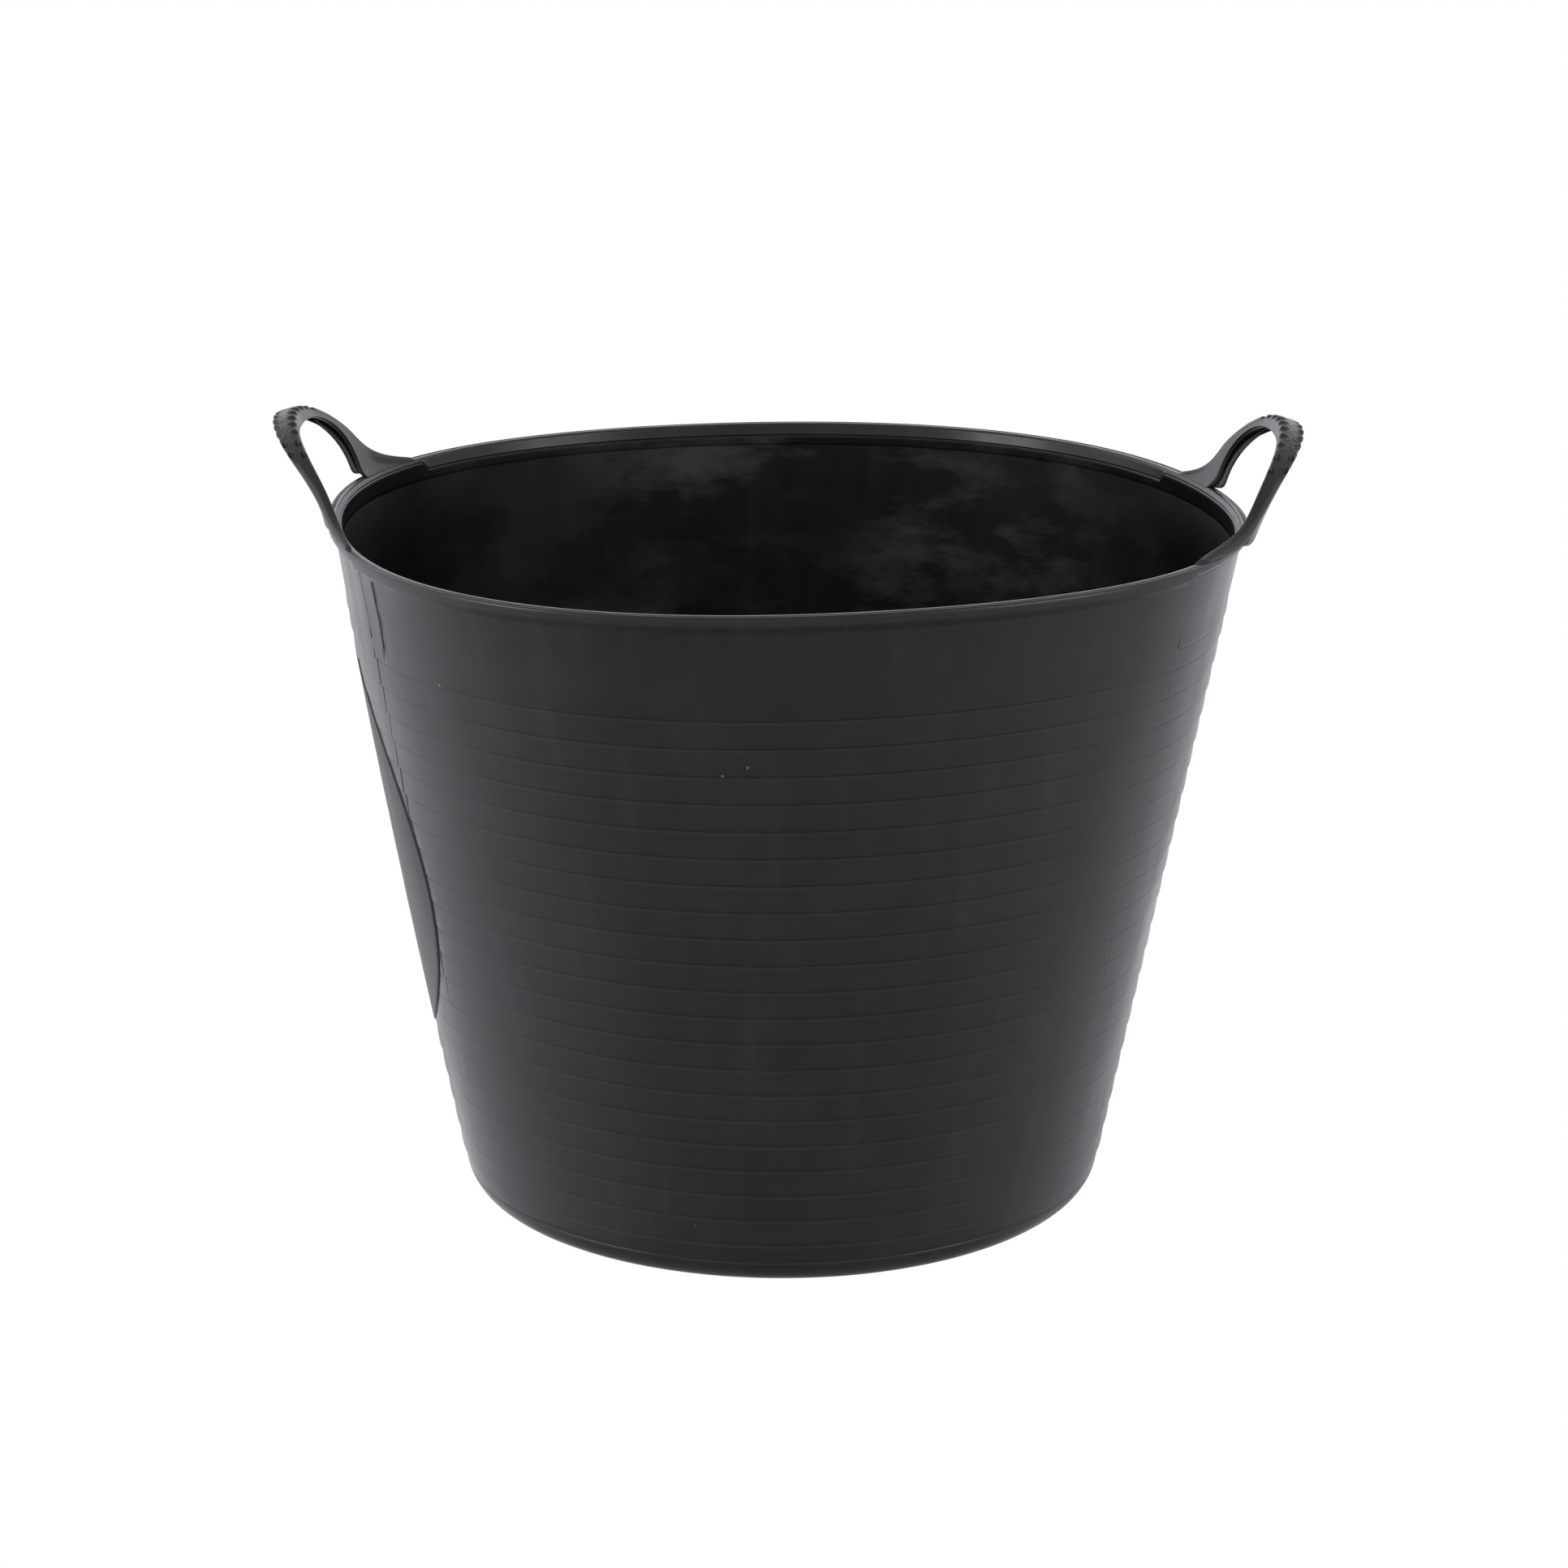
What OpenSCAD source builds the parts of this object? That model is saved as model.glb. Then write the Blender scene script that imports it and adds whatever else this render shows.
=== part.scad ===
// Flexible mortar mixing tub: a round tapered tub with a stepped wall, a thick
// rim and two looped carrying handles. Millimetres, +Z up, base on Z = 0.
// The handles stand on +X and -X, and each one flexes about a line along Y
// through the roots of its two legs.

/* [Tub] */
// Outside diameter of the rim
rim_d = 450; // [420:1:480]
// Height of the rim above the ground
rim_h = 338; // [320:1:360]
// Slope of the wall from the vertical, in degrees
wall_slope = 11.25; // [9:0.25:13]
// Thickness of the wall
wall_t = 2.8; // [2.4:0.1:3.4]
// Thickness of the base
base_t = 3.6; // [3.2:0.1:5]
// Outside radius where the base turns up into the wall
corner_r = 16; // [12:1:20]
// Depth of the shallow recess under the middle of the base
base_recess = 1.2; // [0.5:0.1:1.8]
// Width of the ring that the base stands on
foot_w = 16; // [10:1:30]

/* [Wall rings] */
// Number of ring steps round the wall
ring_count = 21; // [10:1:22]
// Height from one ring step to the next
ring_pitch = 13.3; // [12:0.1:13.5]
// Drop from the rim to the first ring step
ring_drop = 49.6; // [40:0.1:50]
// How far the wall stands proud just above a step
ring_step = 0.5; // [0.3:0.1:0.8]

/* [Rim] */
// Height of the rim band
band_h = 9; // [8:0.5:12]
// Width of the rim's flat top
band_w = 6; // [5:0.5:7]
// Height of the bead round the outside of the rim
bead_h = 5; // [4:0.5:6]
// How far the bead stands out from the wall
bead_out = 2.6; // [2:0.1:3]

/* [Badge panel] */
// Diameter of the plain round panel on the left of the wall
panel_d = 203; // [150:1:210]
// Height of the panel's centre
panel_z = 182; // [170:1:190]
// How far the panel stands out from the wall
panel_out = 0.8; // [0.6:0.1:1]
// Depth of the pocket that the panel fills
panel_in = 1; // [0.8:0.1:1.4]

/* [Handles] */
// Outward lean of the left handle's legs, in degrees
left_leg_lean = 10; // [8:0.5:18]
// Outward lean of the left handle's crown, in degrees
left_crown_lean = 20; // [16:0.5:24]
// Outward lean of the right handle's legs, in degrees
right_leg_lean = 17.5; // [8:0.5:18]
// Outward lean of the right handle's crown, in degrees
right_crown_lean = 22.5; // [16:0.5:24]
// Height of the handle's crown, measured up its tilt
crown_h = 48; // [46:0.5:52]
// Height of the finger gap, measured up the tilt
gap_h = 41.5; // [38:0.5:42]
// Half the width of the finger gap at the rim
gap_half_w = 63; // [60:0.5:64]
// Half the width that each handle takes up on the rim
root_half_w = 108; // [106:1:114]
// Thickness of the grip's skin, flanges and webs
skin_t = 2; // [1.8:0.1:2.4]
// Thickness of the rib inside a leg
rib_t = 1.4; // [1.2:0.1:1.6]
// Angle by which a leg's inner and outer faces spread apart, in degrees
leg_spread = 3; // [2:0.5:5]
// Angle by which the crown's inner and outer faces spread apart, in degrees
crown_spread = 11; // [8:0.5:12]
// Tilt of the gripped surface, in degrees
grip_tilt = 22; // [18:1:26]

/* [Hidden] */
$fn = 96;

charcoal = [0.17, 0.165, 0.175];
soft_black = [0.13, 0.127, 0.135];
fit_gap = 0.1;              // clear gap between pieces of one moulding
flex_gap = 0.4;             // clear gap between a handle and what it moves past
reach = 70;                 // longer than anything on a handle
skirt = 40;                 // how far a handle's outline runs on below the rim

// Outside radius of the wall at a height, before the ring steps
function wall_r(z) = rim_d / 2 - bead_out - (rim_h - z) * tan(wall_slope);
wall_flat_t = wall_t / cos(wall_slope);     // wall thickness measured level
corner_x = wall_r(corner_r) - corner_r / cos(wall_slope);
corner_top = corner_r * (1 - sin(wall_slope));
band_bottom = rim_h - band_h;
rim_in_r = rim_d / 2 - band_w;

// Each handle's lean: of its legs, then of its crown
left_lean = [left_leg_lean, left_crown_lean];
right_lean = [right_leg_lean, right_crown_lean];
// Radii of a leg's two faces at the rim, and the height where the crown begins
leg_in_r = rim_in_r + 2.5;
leg_out_r = rim_d / 2 + 3.5;
knee_h = 20;
// The flex line, the round leg end about it, and where the webs take over
flex_r = 10;
flex_x = 214;
flex_z = rim_h + flex_r + flex_gap;
split_y = 76;
web_lip = 6;                // depth of the lip along a web's top edge
crown_steps = 12;           // straight pieces in each curve of an outline
gap_power = 3;              // squareness of the finger gap's arch

// Cubic curve, and the same curve moved sideways towards its inside
function curve(p, t) =
    pow(1 - t, 3) * p[0] + 3 * t * pow(1 - t, 2) * p[1]
    + 3 * t * t * (1 - t) * p[2] + t * t * t * p[3];
function heading(p, t) =
    pow(1 - t, 2) * (p[1] - p[0]) + 2 * t * (1 - t) * (p[2] - p[1])
    + t * t * (p[3] - p[2]);
function inside(p, t, d) =
    let (v = heading(p, t)) curve(p, t) + [v[1], -v[0]] / norm(v) * d;

// Half of the handle's back edge: the crown's arch, then the web's flare
shoulder = [70, 0.46 * crown_h];
arch = [[0, crown_h], [32, crown_h], [52, 0.83 * crown_h], shoulder];
flare = [shoulder, [80, 0.27 * crown_h], [92, 0.08 * crown_h], [root_half_w, 0]];
function back_edge(d) = concat(
    [for (i = [0 : crown_steps - 1]) inside(arch, i / crown_steps, d)],
    [for (i = [0 : crown_steps]) inside(flare, i / crown_steps, d)]
);
function both_halves(half) = concat(
    [for (i = [len(half) - 1 : -1 : 1]) [-half[i][0], half[i][1]]],
    half
);
// The finger gap's arch, its edge moved out by grow
function gap_edge(grow) = [
    for (i = [0 : 2 * crown_steps])
    let (a = 90 * i / crown_steps, c = cos(a), s = abs(sin(a)), e = 2 / gap_power)
    [sign(c) * (gap_half_w + grow) * pow(abs(c), e), (gap_h + grow) * pow(s, e)]
];

// Lowers an outline's points as the rim curves away from the tilted plane
function follow_rim(edge) = [
    for (p = edge)
    [p[0], p[1] - (leg_in_r - sqrt(pow(leg_in_r, 2) - pow(p[0], 2))) * sin(grip_tilt)]
];

module back_outline(d) {
    edge = follow_rim(both_halves(back_edge(d)));
    last = len(edge) - 1;
    polygon(concat(edge, [[edge[last][0], -skirt], [edge[0][0], -skirt]]));
}

module gap_outline(grow) {
    half_w = gap_half_w + grow;
    polygon(concat(
        follow_rim(gap_edge(grow)),
        [[-half_w, -reach], [half_w, -reach]]
    ));
}

// Stands a flat outline in the tilted plane of the +X handle
module across_handle() {
    translate([leg_in_r, 0, rim_h])
        rotate([0, grip_tilt, 0])
            rotate([90, 0, 90])
                linear_extrude(2 * reach, center = true)
                    children();
}

// A face of the handle: its radius at the rim, the slope of its legs, then of its
// crown, each in degrees
function inner_face(lean, d) =
    [leg_in_r + d, lean[0] - leg_spread / 2, lean[1] - crown_spread / 2];
function outer_face(lean, d) =
    [leg_out_r - d, lean[0] + leg_spread / 2, lean[1] + crown_spread / 2];
function middle_face(lean, d) = [(leg_in_r + leg_out_r) / 2 + d, lean[0], lean[1]];
function face_r(face, h) =
    face[0] + min(h, knee_h) * tan(face[1]) + max(h - knee_h, 0) * tan(face[2]);

// Ring between two faces
module between(inner, outer) {
    rotate_extrude()
        polygon(concat(
            [for (h = [0, knee_h, reach]) [face_r(outer, h), rim_h + h]],
            [for (h = [reach, knee_h, 0]) [face_r(inner, h), rim_h + h]]
        ));
}

// The whole depth of a leg, from its inner face to its outer face
module leg_depth(lean) {
    between(inner_face(lean, 0), outer_face(lean, 0));
}

module inner_skin(lean) {
    between(inner_face(lean, 0), inner_face(lean, skin_t));
}

module outer_skin(lean) {
    between(outer_face(lean, skin_t), outer_face(lean, 0));
}

// Everything between the two flanges
module channel_depth(lean) {
    between(inner_face(lean, skin_t + fit_gap), outer_face(lean, skin_t + fit_gap));
}

// The space that flexes: above the flex line, and a round leg end about it
module flex_zone() {
    w = 2 * (split_y - flex_gap / 2);
    translate([flex_x - reach / 2, -w / 2, flex_z])
        cube([1.5 * reach, w, reach]);
    translate([flex_x, w / 2, flex_z])
        rotate([90, 0, 0])
            cylinder(r = flex_r, h = w);
}

// The back skin of the +X handle: the gripped surface of the loop
module grip_skin(lean) {
    intersection() {
        across_handle()
            difference() {
                back_outline(0);
                back_outline(skin_t);
            }
        leg_depth(lean);
        flex_zone();
    }
}

// What lies between the back skin and the finger gap, cut to a given depth
module flange() {
    intersection() {
        children();
        flex_zone();
        across_handle()
            difference() {
                back_outline(skin_t + fit_gap);
                gap_outline(0);
            }
    }
}

module inner_flange(lean) {
    flange()
        inner_skin(lean);
}

module outer_flange(lean) {
    flange()
        outer_skin(lean);
}

// A thin rib down the middle of each leg's channel
module leg_ribs(lean) {
    rib_top = flex_z + 14;
    intersection() {
        across_handle()
            difference() {
                back_outline(skin_t + fit_gap);
                gap_outline(3);
            }
        between(middle_face(lean, -rib_t / 2), middle_face(lean, rib_t / 2));
        channel_depth(lean);
        flex_zone();
        translate([0, -split_y, rim_h])
            cube([2 * rim_d, 2 * split_y, rib_top - rim_h]);
    }
}

// The two webs of the +X handle: a thin plate with a lip along its top edge.
// side is -1 for the front one and 1 for the back one.
module web(lean, side) {
    intersection() {
        union() {
            intersection() {
                across_handle() back_outline(0);
                inner_skin(lean);
            }
            intersection() {
                across_handle()
                    difference() {
                        back_outline(0);
                        back_outline(skin_t);
                    }
                between(inner_face(lean, 0), inner_face(lean, web_lip));
            }
        }
        translate([0, side > 0 ? split_y + flex_gap / 2 : -rim_d, rim_h])
            cube([rim_d, rim_d - split_y - flex_gap / 2, reach]);
    }
}

// A rounded tongue on the outside of the rim, below one leg
module lug(side) {
    lug_w = 12;
    lug_t = leg_out_r - rim_d / 2;
    intersection() {
        translate([0, side * (gap_half_w + 4), rim_h])
            rotate([90, 0, 90])
                cylinder(d = lug_w, h = rim_d);
        difference() {
            cylinder(r = rim_d / 2 + lug_t, h = rim_h, $fn = 192);
            translate([0, 0, -1])
                cylinder(r = rim_d / 2 + fit_gap / 2, h = rim_h + 2, $fn = 192);
        }
    }
}

// The round space that the badge panel stands in, on the -X side
module panel_column(d) {
    translate([0, 0, panel_z])
        rotate([0, -90, 0])
            cylinder(d = d, h = rim_d);
}

// Shell of the wall's slope from offset lo to offset hi outside the wall
module wall_slice(lo, hi) {
    rotate_extrude()
        polygon([
            [wall_r(0) + lo, 0],
            [wall_r(0) + hi, 0],
            [wall_r(rim_h) + hi, rim_h],
            [wall_r(rim_h) + lo, rim_h]
        ]);
}

// Tapered wall with its ring steps, from the corner up to the rim band
module wall_shell() {
    ring_edge = [
        for (i = [0 : ring_count - 1], out = [ring_step, 0])
        let (z = rim_h - ring_drop - i * ring_pitch)
        [wall_r(z) + out, z]
    ];
    color(charcoal)
        difference() {
            rotate_extrude()
                polygon(concat(
                    [[wall_r(band_bottom), band_bottom]],
                    ring_edge,
                    [[wall_r(corner_top), corner_top]],
                    [[wall_r(corner_top) - wall_flat_t, corner_top]],
                    [[wall_r(band_bottom) - wall_flat_t, band_bottom]]
                ));
            intersection() {
                panel_column(panel_d);
                wall_slice(-panel_in, 2);
            }
        }
}

// Flat base with a standing ring, turned up at its rounded corner
module base_panel() {
    turn = 90 - wall_slope;
    steps = 12;
    outer_arc = [
        for (i = [0 : steps])
        let (a = -90 + turn * i / steps)
        [corner_x + corner_r * cos(a), corner_r + corner_r * sin(a)]
    ];
    in_r = corner_r - wall_t;
    start = acos((corner_r - base_t) / in_r) - 90;
    inner_arc = [
        for (i = [steps : -1 : 0])
        let (a = start + (-wall_slope - start) * i / steps)
        [corner_x + in_r * cos(a), corner_r + in_r * sin(a)]
    ];
    color(charcoal)
        difference() {
            rotate_extrude()
                intersection() {
                    polygon(concat([[0, 0]], outer_arc, inner_arc, [[0, base_t]]));
                    square([rim_d, corner_top]);
                }
            translate([0, 0, -1])
                cylinder(r = corner_x - foot_w, h = base_recess + 1);
        }
}

// Thickened rim: outer bead, flat top and the small ledge inside
module rim_band() {
    color(charcoal)
        rotate_extrude()
            polygon([
                [wall_r(band_bottom), band_bottom],
                [wall_r(rim_h - bead_h), rim_h - bead_h],
                [rim_d / 2, rim_h - bead_h],
                [rim_d / 2, rim_h - 0.8],
                [rim_d / 2 - 0.8, rim_h],
                [rim_in_r + 0.8, rim_h],
                [rim_in_r, rim_h - 0.8],
                [wall_r(band_bottom) - wall_flat_t - 1.2, band_bottom + 1],
                [wall_r(band_bottom) - wall_flat_t - 1.2, band_bottom]
            ]);
}

// Plain round panel on the left of the wall, where the ring steps stop
module badge_panel() {
    color(soft_black)
        intersection() {
            panel_column(panel_d - 2 * fit_gap);
            wall_slice(fit_gap - panel_in, panel_out);
        }
}

module left_side() {
    mirror([1, 0, 0])
        children();
}

module left_front_web() {
    color(charcoal) left_side() web(left_lean, -1);
}

module left_back_web() {
    color(charcoal) left_side() web(left_lean, 1);
}

module right_front_web() {
    color(charcoal) web(right_lean, -1);
}

module right_back_web() {
    color(charcoal) web(right_lean, 1);
}

module left_front_lug() {
    color(charcoal) left_side() lug(-1);
}

module left_back_lug() {
    color(charcoal) left_side() lug(1);
}

module right_front_lug() {
    color(charcoal) lug(-1);
}

module right_back_lug() {
    color(charcoal) lug(1);
}

module left_grip_skin() {
    color(charcoal) left_side() grip_skin(left_lean);
}

module left_inner_flange() {
    color(charcoal) left_side() inner_flange(left_lean);
}

module left_outer_flange() {
    color(charcoal) left_side() outer_flange(left_lean);
}

module left_leg_ribs() {
    color(soft_black) left_side() leg_ribs(left_lean);
}

module right_grip_skin() {
    color(charcoal) grip_skin(right_lean);
}

module right_inner_flange() {
    color(charcoal) inner_flange(right_lean);
}

module right_outer_flange() {
    color(charcoal) outer_flange(right_lean);
}

module right_leg_ribs() {
    color(soft_black) leg_ribs(right_lean);
}

wall_shell();
base_panel();
rim_band();
badge_panel();
left_front_web();
left_back_web();
right_front_web();
right_back_web();
left_front_lug();
left_back_lug();
right_front_lug();
right_back_lug();
left_grip_skin();
left_inner_flange();
left_outer_flange();
left_leg_ribs();
right_grip_skin();
right_inner_flange();
right_outer_flange();
right_leg_ribs();
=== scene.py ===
"""Looks of the flexible mortar tub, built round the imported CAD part.

Every mesh is computed here in millimetres, in the row frame, and stored in metres:
+Z up, base on Z = 0, the two handles on -X (left) and +X (right).
"""

import math

import bmesh
import bpy
import numpy as np
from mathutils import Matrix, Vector


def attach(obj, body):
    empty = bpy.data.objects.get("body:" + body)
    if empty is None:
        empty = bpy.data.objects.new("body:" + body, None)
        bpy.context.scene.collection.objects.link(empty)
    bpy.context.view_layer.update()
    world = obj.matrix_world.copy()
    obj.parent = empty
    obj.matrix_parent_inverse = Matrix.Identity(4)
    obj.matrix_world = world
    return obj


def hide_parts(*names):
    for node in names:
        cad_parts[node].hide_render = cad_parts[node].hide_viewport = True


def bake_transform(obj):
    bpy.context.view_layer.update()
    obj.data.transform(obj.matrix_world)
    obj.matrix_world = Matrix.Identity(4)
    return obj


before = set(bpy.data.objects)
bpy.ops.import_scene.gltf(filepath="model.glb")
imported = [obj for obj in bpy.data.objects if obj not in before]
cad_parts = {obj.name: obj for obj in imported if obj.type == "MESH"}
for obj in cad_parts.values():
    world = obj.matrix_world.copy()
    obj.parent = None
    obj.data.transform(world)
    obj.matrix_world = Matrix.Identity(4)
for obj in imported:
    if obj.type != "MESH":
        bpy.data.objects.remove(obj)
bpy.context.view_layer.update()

# ---------------------------------------------------------------- sizes, in mm
RIM_R, RIM_H = 225.0, 338.0
SLOPE = math.tan(math.radians(11.25))
WALL_T, WALL_LEVEL_T = 2.8, 2.855  # square to the wall, and along the level
BEAD_OUT, BEAD_H = 2.6, 5.0
RIM_IN_R = 219.0
CORNER_R = 16.0
BASE_T, BASE_RECESS, FOOT_W = 3.6, 1.2, 16.0
RING_TOP, RING_PITCH, RING_COUNT, RING_STEP = 288.4, 13.3, 21, 0.5
SECTOR_RING_UP, SECTOR_RING_STEP = 9.6, 0.42  # one more ring over each handle's sector
LEDGE_Z, LEDGE_UP = 331.5, 4.1  # the ledge is higher between a handle's feet
PANEL_R, PANEL_Z, PANEL_OUT, PANEL_TURNS = 101.5, 182.0, 0.8, 160
SEAM_OFF = math.radians(30.8)  # half of each handle's sector, where the mould parts
SEAM_SOFT = 0.004  # angle over which a sector's own shapes end at its seam
WALL_EDGE = RIM_R - BEAD_OUT


def wall_r(z):
    """Outside radius of the wall before its ring steps."""
    return WALL_EDGE - (RIM_H - z) * SLOPE


CORNER_X = wall_r(CORNER_R) - CORNER_R / math.cos(math.atan(SLOPE))
CORNER_TOP = CORNER_R * (1 - math.sin(math.atan(SLOPE)))

# The flexible rim is a little out of round: (waves round it, share of radius, phase)
OUT_OF_ROUND = (
    (2, 0.0097, math.radians(83.4)),
    (3, 0.0082, math.radians(-0.4)),
    (4, 0.0206, math.radians(-29.7)),
)
BEND_FADE = 45.0  # height above the rim over which this fades out


def smooth(t):
    """0 up to t = 0, 1 from t = 1, and an S-curve between."""
    t = np.clip(t, 0.0, 1.0)
    return t * t * (3 - 2 * t)


def bend_out_of_round(p):
    """Moves points out of round: none at the base, all at the rim, fading up a handle."""
    phi = np.arctan2(p[..., 1], p[..., 0])
    share = sum(a * np.cos(n * (phi - ph)) for n, a, ph in OUT_OF_ROUND)
    z = p[..., 2]
    up = np.clip(z / RIM_H, 0, 1) ** 2.2 * (1 - smooth((z - RIM_H) / BEND_FADE))
    out = p.copy()
    out[..., 0] *= 1 + share * up
    out[..., 1] *= 1 + share * up
    return out


def bump_at(d, width):
    """A rounded bump of height 1 at d = 0."""
    return np.exp(-((d / width) ** 2))


def wrapped(angle):
    """An angle brought between -pi and pi."""
    return (angle + math.pi) % (2 * math.pi) - math.pi


def noise1(x, seed, octaves=3):
    """Smooth random curve of x, about -1 to 1, with period 2 pi where x is an angle."""
    rng = np.random.default_rng(seed)
    total = np.zeros_like(np.asarray(x, float))
    for k in range(1, octaves * 4 + 1):
        total += rng.normal() / k**0.7 * np.cos(k * x + rng.uniform(0, 6.283))
    return total / 2.2


def spaced(values, least):
    """Sorted values with those dropped that follow the last kept one too closely."""
    keep = [values[0]]
    for x in values[1:]:
        if x - keep[-1] > least:
            keep.append(x)
    return np.array(keep)


# ------------------------------------------------------------------ mesh making
def mesh_object(name, verts, faces, smooth_shading=True):
    """A mesh object from points in mm; faces is a list or array of corner rows."""
    me = bpy.data.meshes.new(name)
    co = np.asarray(verts, np.float64).reshape(-1, 3) * 0.001
    me.from_pydata(co.tolist(), [], [list(map(int, f)) for f in faces])
    me.validate(verbose=False)
    me.polygons.foreach_set("use_smooth", [smooth_shading] * len(me.polygons))
    me.update()
    ob = bpy.data.objects.new(name, me)
    bpy.context.scene.collection.objects.link(ob)
    return ob


def grid_faces(nu, nv, close_u, close_v, flip=False):
    """Quads over an nu by nv grid of points stored row by row."""
    iu = np.arange(nu if close_u else nu - 1)
    iv = np.arange(nv if close_v else nv - 1)
    a, b = np.meshgrid(iu, iv, indexing="ij")
    a2, b2 = (a + 1) % nu, (b + 1) % nv
    quad = np.stack([a * nv + b, a2 * nv + b, a2 * nv + b2, a * nv + b2], -1)
    quad = quad.reshape(-1, 4)
    return quad[:, ::-1] if flip else quad


def revolve(name, profile, phis):
    """Closed profile(phi) -> (n, 2) array of (r, z), turned through the given angles."""
    rows = []
    for phi in phis:
        rz = profile(phi)
        rows.append(
            np.stack([rz[:, 0] * math.cos(phi), rz[:, 0] * math.sin(phi), rz[:, 1]], 1)
        )
    p = bend_out_of_round(np.array(rows))
    faces = grid_faces(len(phis), p.shape[1], True, True)
    return mesh_object(name, p, faces)


def tube_strip(name, sections, flip=False):
    """sections: (nu, nv, 3) closed cross-sections along an open path, with end caps."""
    nu, nv = sections.shape[:2]
    faces = grid_faces(nu, nv, False, True, flip).tolist()
    first, last = list(range(nv)), [(nu - 1) * nv + i for i in range(nv)]
    faces.append(first if flip else first[::-1])
    faces.append(last[::-1] if flip else last)
    return mesh_object(name, sections, faces)


def off_axis(phi):
    """Angle from the nearer handle's middle, signed towards +Y."""
    near = 0.0 if math.cos(phi) > 0 else math.pi
    d = wrapped(phi - near)
    return d if near == 0.0 else -d


def in_handle_sector(phi):
    """1 between a handle's two seams, 0 elsewhere."""
    return float(smooth((SEAM_OFF - abs(off_axis(phi))) / SEAM_SOFT + 0.5))


def angle_columns(base, extra):
    """Even angles, with closer ones where extra lists (middle, half width, count)."""
    phis = list(np.linspace(0, 2 * math.pi, base, endpoint=False))
    for mid, half, n in extra:
        phis += list((mid + np.linspace(-half, half, n)) % (2 * math.pi))
    return spaced(np.unique(np.round(phis, 6)), 4e-4)


SEAMS = [SEAM_OFF, -SEAM_OFF, math.pi - SEAM_OFF, math.pi + SEAM_OFF]
GROOVE_PHI = math.radians(-144.6)

# ------------------------------------------------------------------- wall shell
def seam_depth(phi, z):
    """Depth of the mould seams' fine line: a groove with a raised edge beside it."""
    side = 1.0 if math.cos(phi) < 0 else 0.22
    d = (abs(off_axis(phi)) - SEAM_OFF) * wall_r(z) + 0.12 * np.sin(z * 0.31)
    end = smooth((z - 88) / 60) * side * (0.75 + 0.25 * np.sin(z * 0.09 + 1))
    return (0.26 * bump_at(d, 0.42) - 0.16 * bump_at(d + 1.0, 0.6)) * end


def groove_depth(phi, z):
    """A wandering blemish in the plain band beside the left front seam, with a fork."""
    total = np.zeros_like(z)
    for shift, low, high, deep in ((0.0, 290, 333, 0.9), (-1.9, 316, 326, 0.7)):
        line = GROOVE_PHI + 0.004 * np.sin(z * 0.21) + 0.003 * np.sin(z * 0.53 + 1)
        line = line + (z - 311) * 0.00042 + shift * (z - low) / (high - low) / RIM_R
        d = wrapped(phi - line) * wall_r(z)
        reach = smooth((z - low) / 6) * smooth((high - z) / 5)
        width = 1.0 + 0.3 * np.sin(z * 0.37)
        total += deep * bump_at(d, width) * reach
        total -= 0.16 * bump_at(d - 2.1, 0.8) * reach
    return total


def ring_rows():
    """Heights of the wall's rows of points, close together at each ring step."""
    rows = [CORNER_TOP, CORNER_TOP + 2.5, CORNER_TOP + 5]
    near_step = (-2.5, -1.0, -0.45, -0.2, -0.05, 0.12, 0.35, 0.8, 1.8, 4.5, 7.6)
    for i in range(RING_COUNT):
        rows += [RING_TOP - i * RING_PITCH + dz for dz in near_step]
    rows += [RING_TOP + SECTOR_RING_UP + dz for dz in (-0.9, -0.4, -0.1, 0.2, 0.6, 1.6, 4)]
    rows += [306, 311, 316, 320, 324, 327, 329, 331.5, 333.6]
    return spaced(np.unique(np.round(rows, 3)), 0.06)


ROWS = ring_rows()


def ring_out(phi, z):
    """How far the wall stands proud at each height: a saw tooth, sharp underneath."""
    out = np.zeros_like(z)
    sector = in_handle_sector(phi)
    uneven = 1 + 0.12 * noise1(phi, 3) + 0.25 * math.cos(phi) ** 2
    for i in range(-1, RING_COUNT):
        zi = RING_TOP - i * RING_PITCH
        step = RING_STEP * uneven
        span = RING_PITCH
        if i == -1:
            zi, span = RING_TOP + SECTOR_RING_UP, 9.0
            step = SECTOR_RING_STEP * sector * uneven
        if i == 0:
            span = SECTOR_RING_UP if sector > 0.5 else 30.0
        t = z - zi
        rise = smooth((t + 0.12) / 0.42)
        fall = 1 - smooth((t - 0.6) / (span * 0.92))
        notch = -0.26 * bump_at(t + 0.28, 0.3) * (step / RING_STEP)
        out += np.where(t > -2.0, step * rise * fall, 0) + notch
    if math.cos(phi) > 0:
        return out
    from_panel = np.hypot(wall_r(z) * math.sin(phi), z - PANEL_Z)
    return out * (0.15 + 0.85 * smooth((from_panel - PANEL_R) / 6.0))


def wall_profile(phi):
    """Cross-section of the wall: the stepped outside, then the smooth inside."""
    z = ROWS
    out = ring_out(phi, z) - seam_depth(phi, z) - groove_depth(phi, z)
    wave = 0.10 * noise1(phi, 11) * np.clip(z / RIM_H, 0, 1)
    outer = np.stack([wall_r(z) + out + wave, z], 1)
    zi = np.array([330.5, 300, 240, 180, 120, 60, 30, CORNER_TOP])
    inner = np.stack([wall_r(zi) - WALL_LEVEL_T, zi], 1)
    return np.vstack([outer, inner])


def build_wall():
    extra = [(s, 0.016, 33) for s in SEAMS] + [(GROOVE_PHI, 0.035, 45)]
    return revolve("tub_wall", wall_profile, angle_columns(540, extra))


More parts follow.
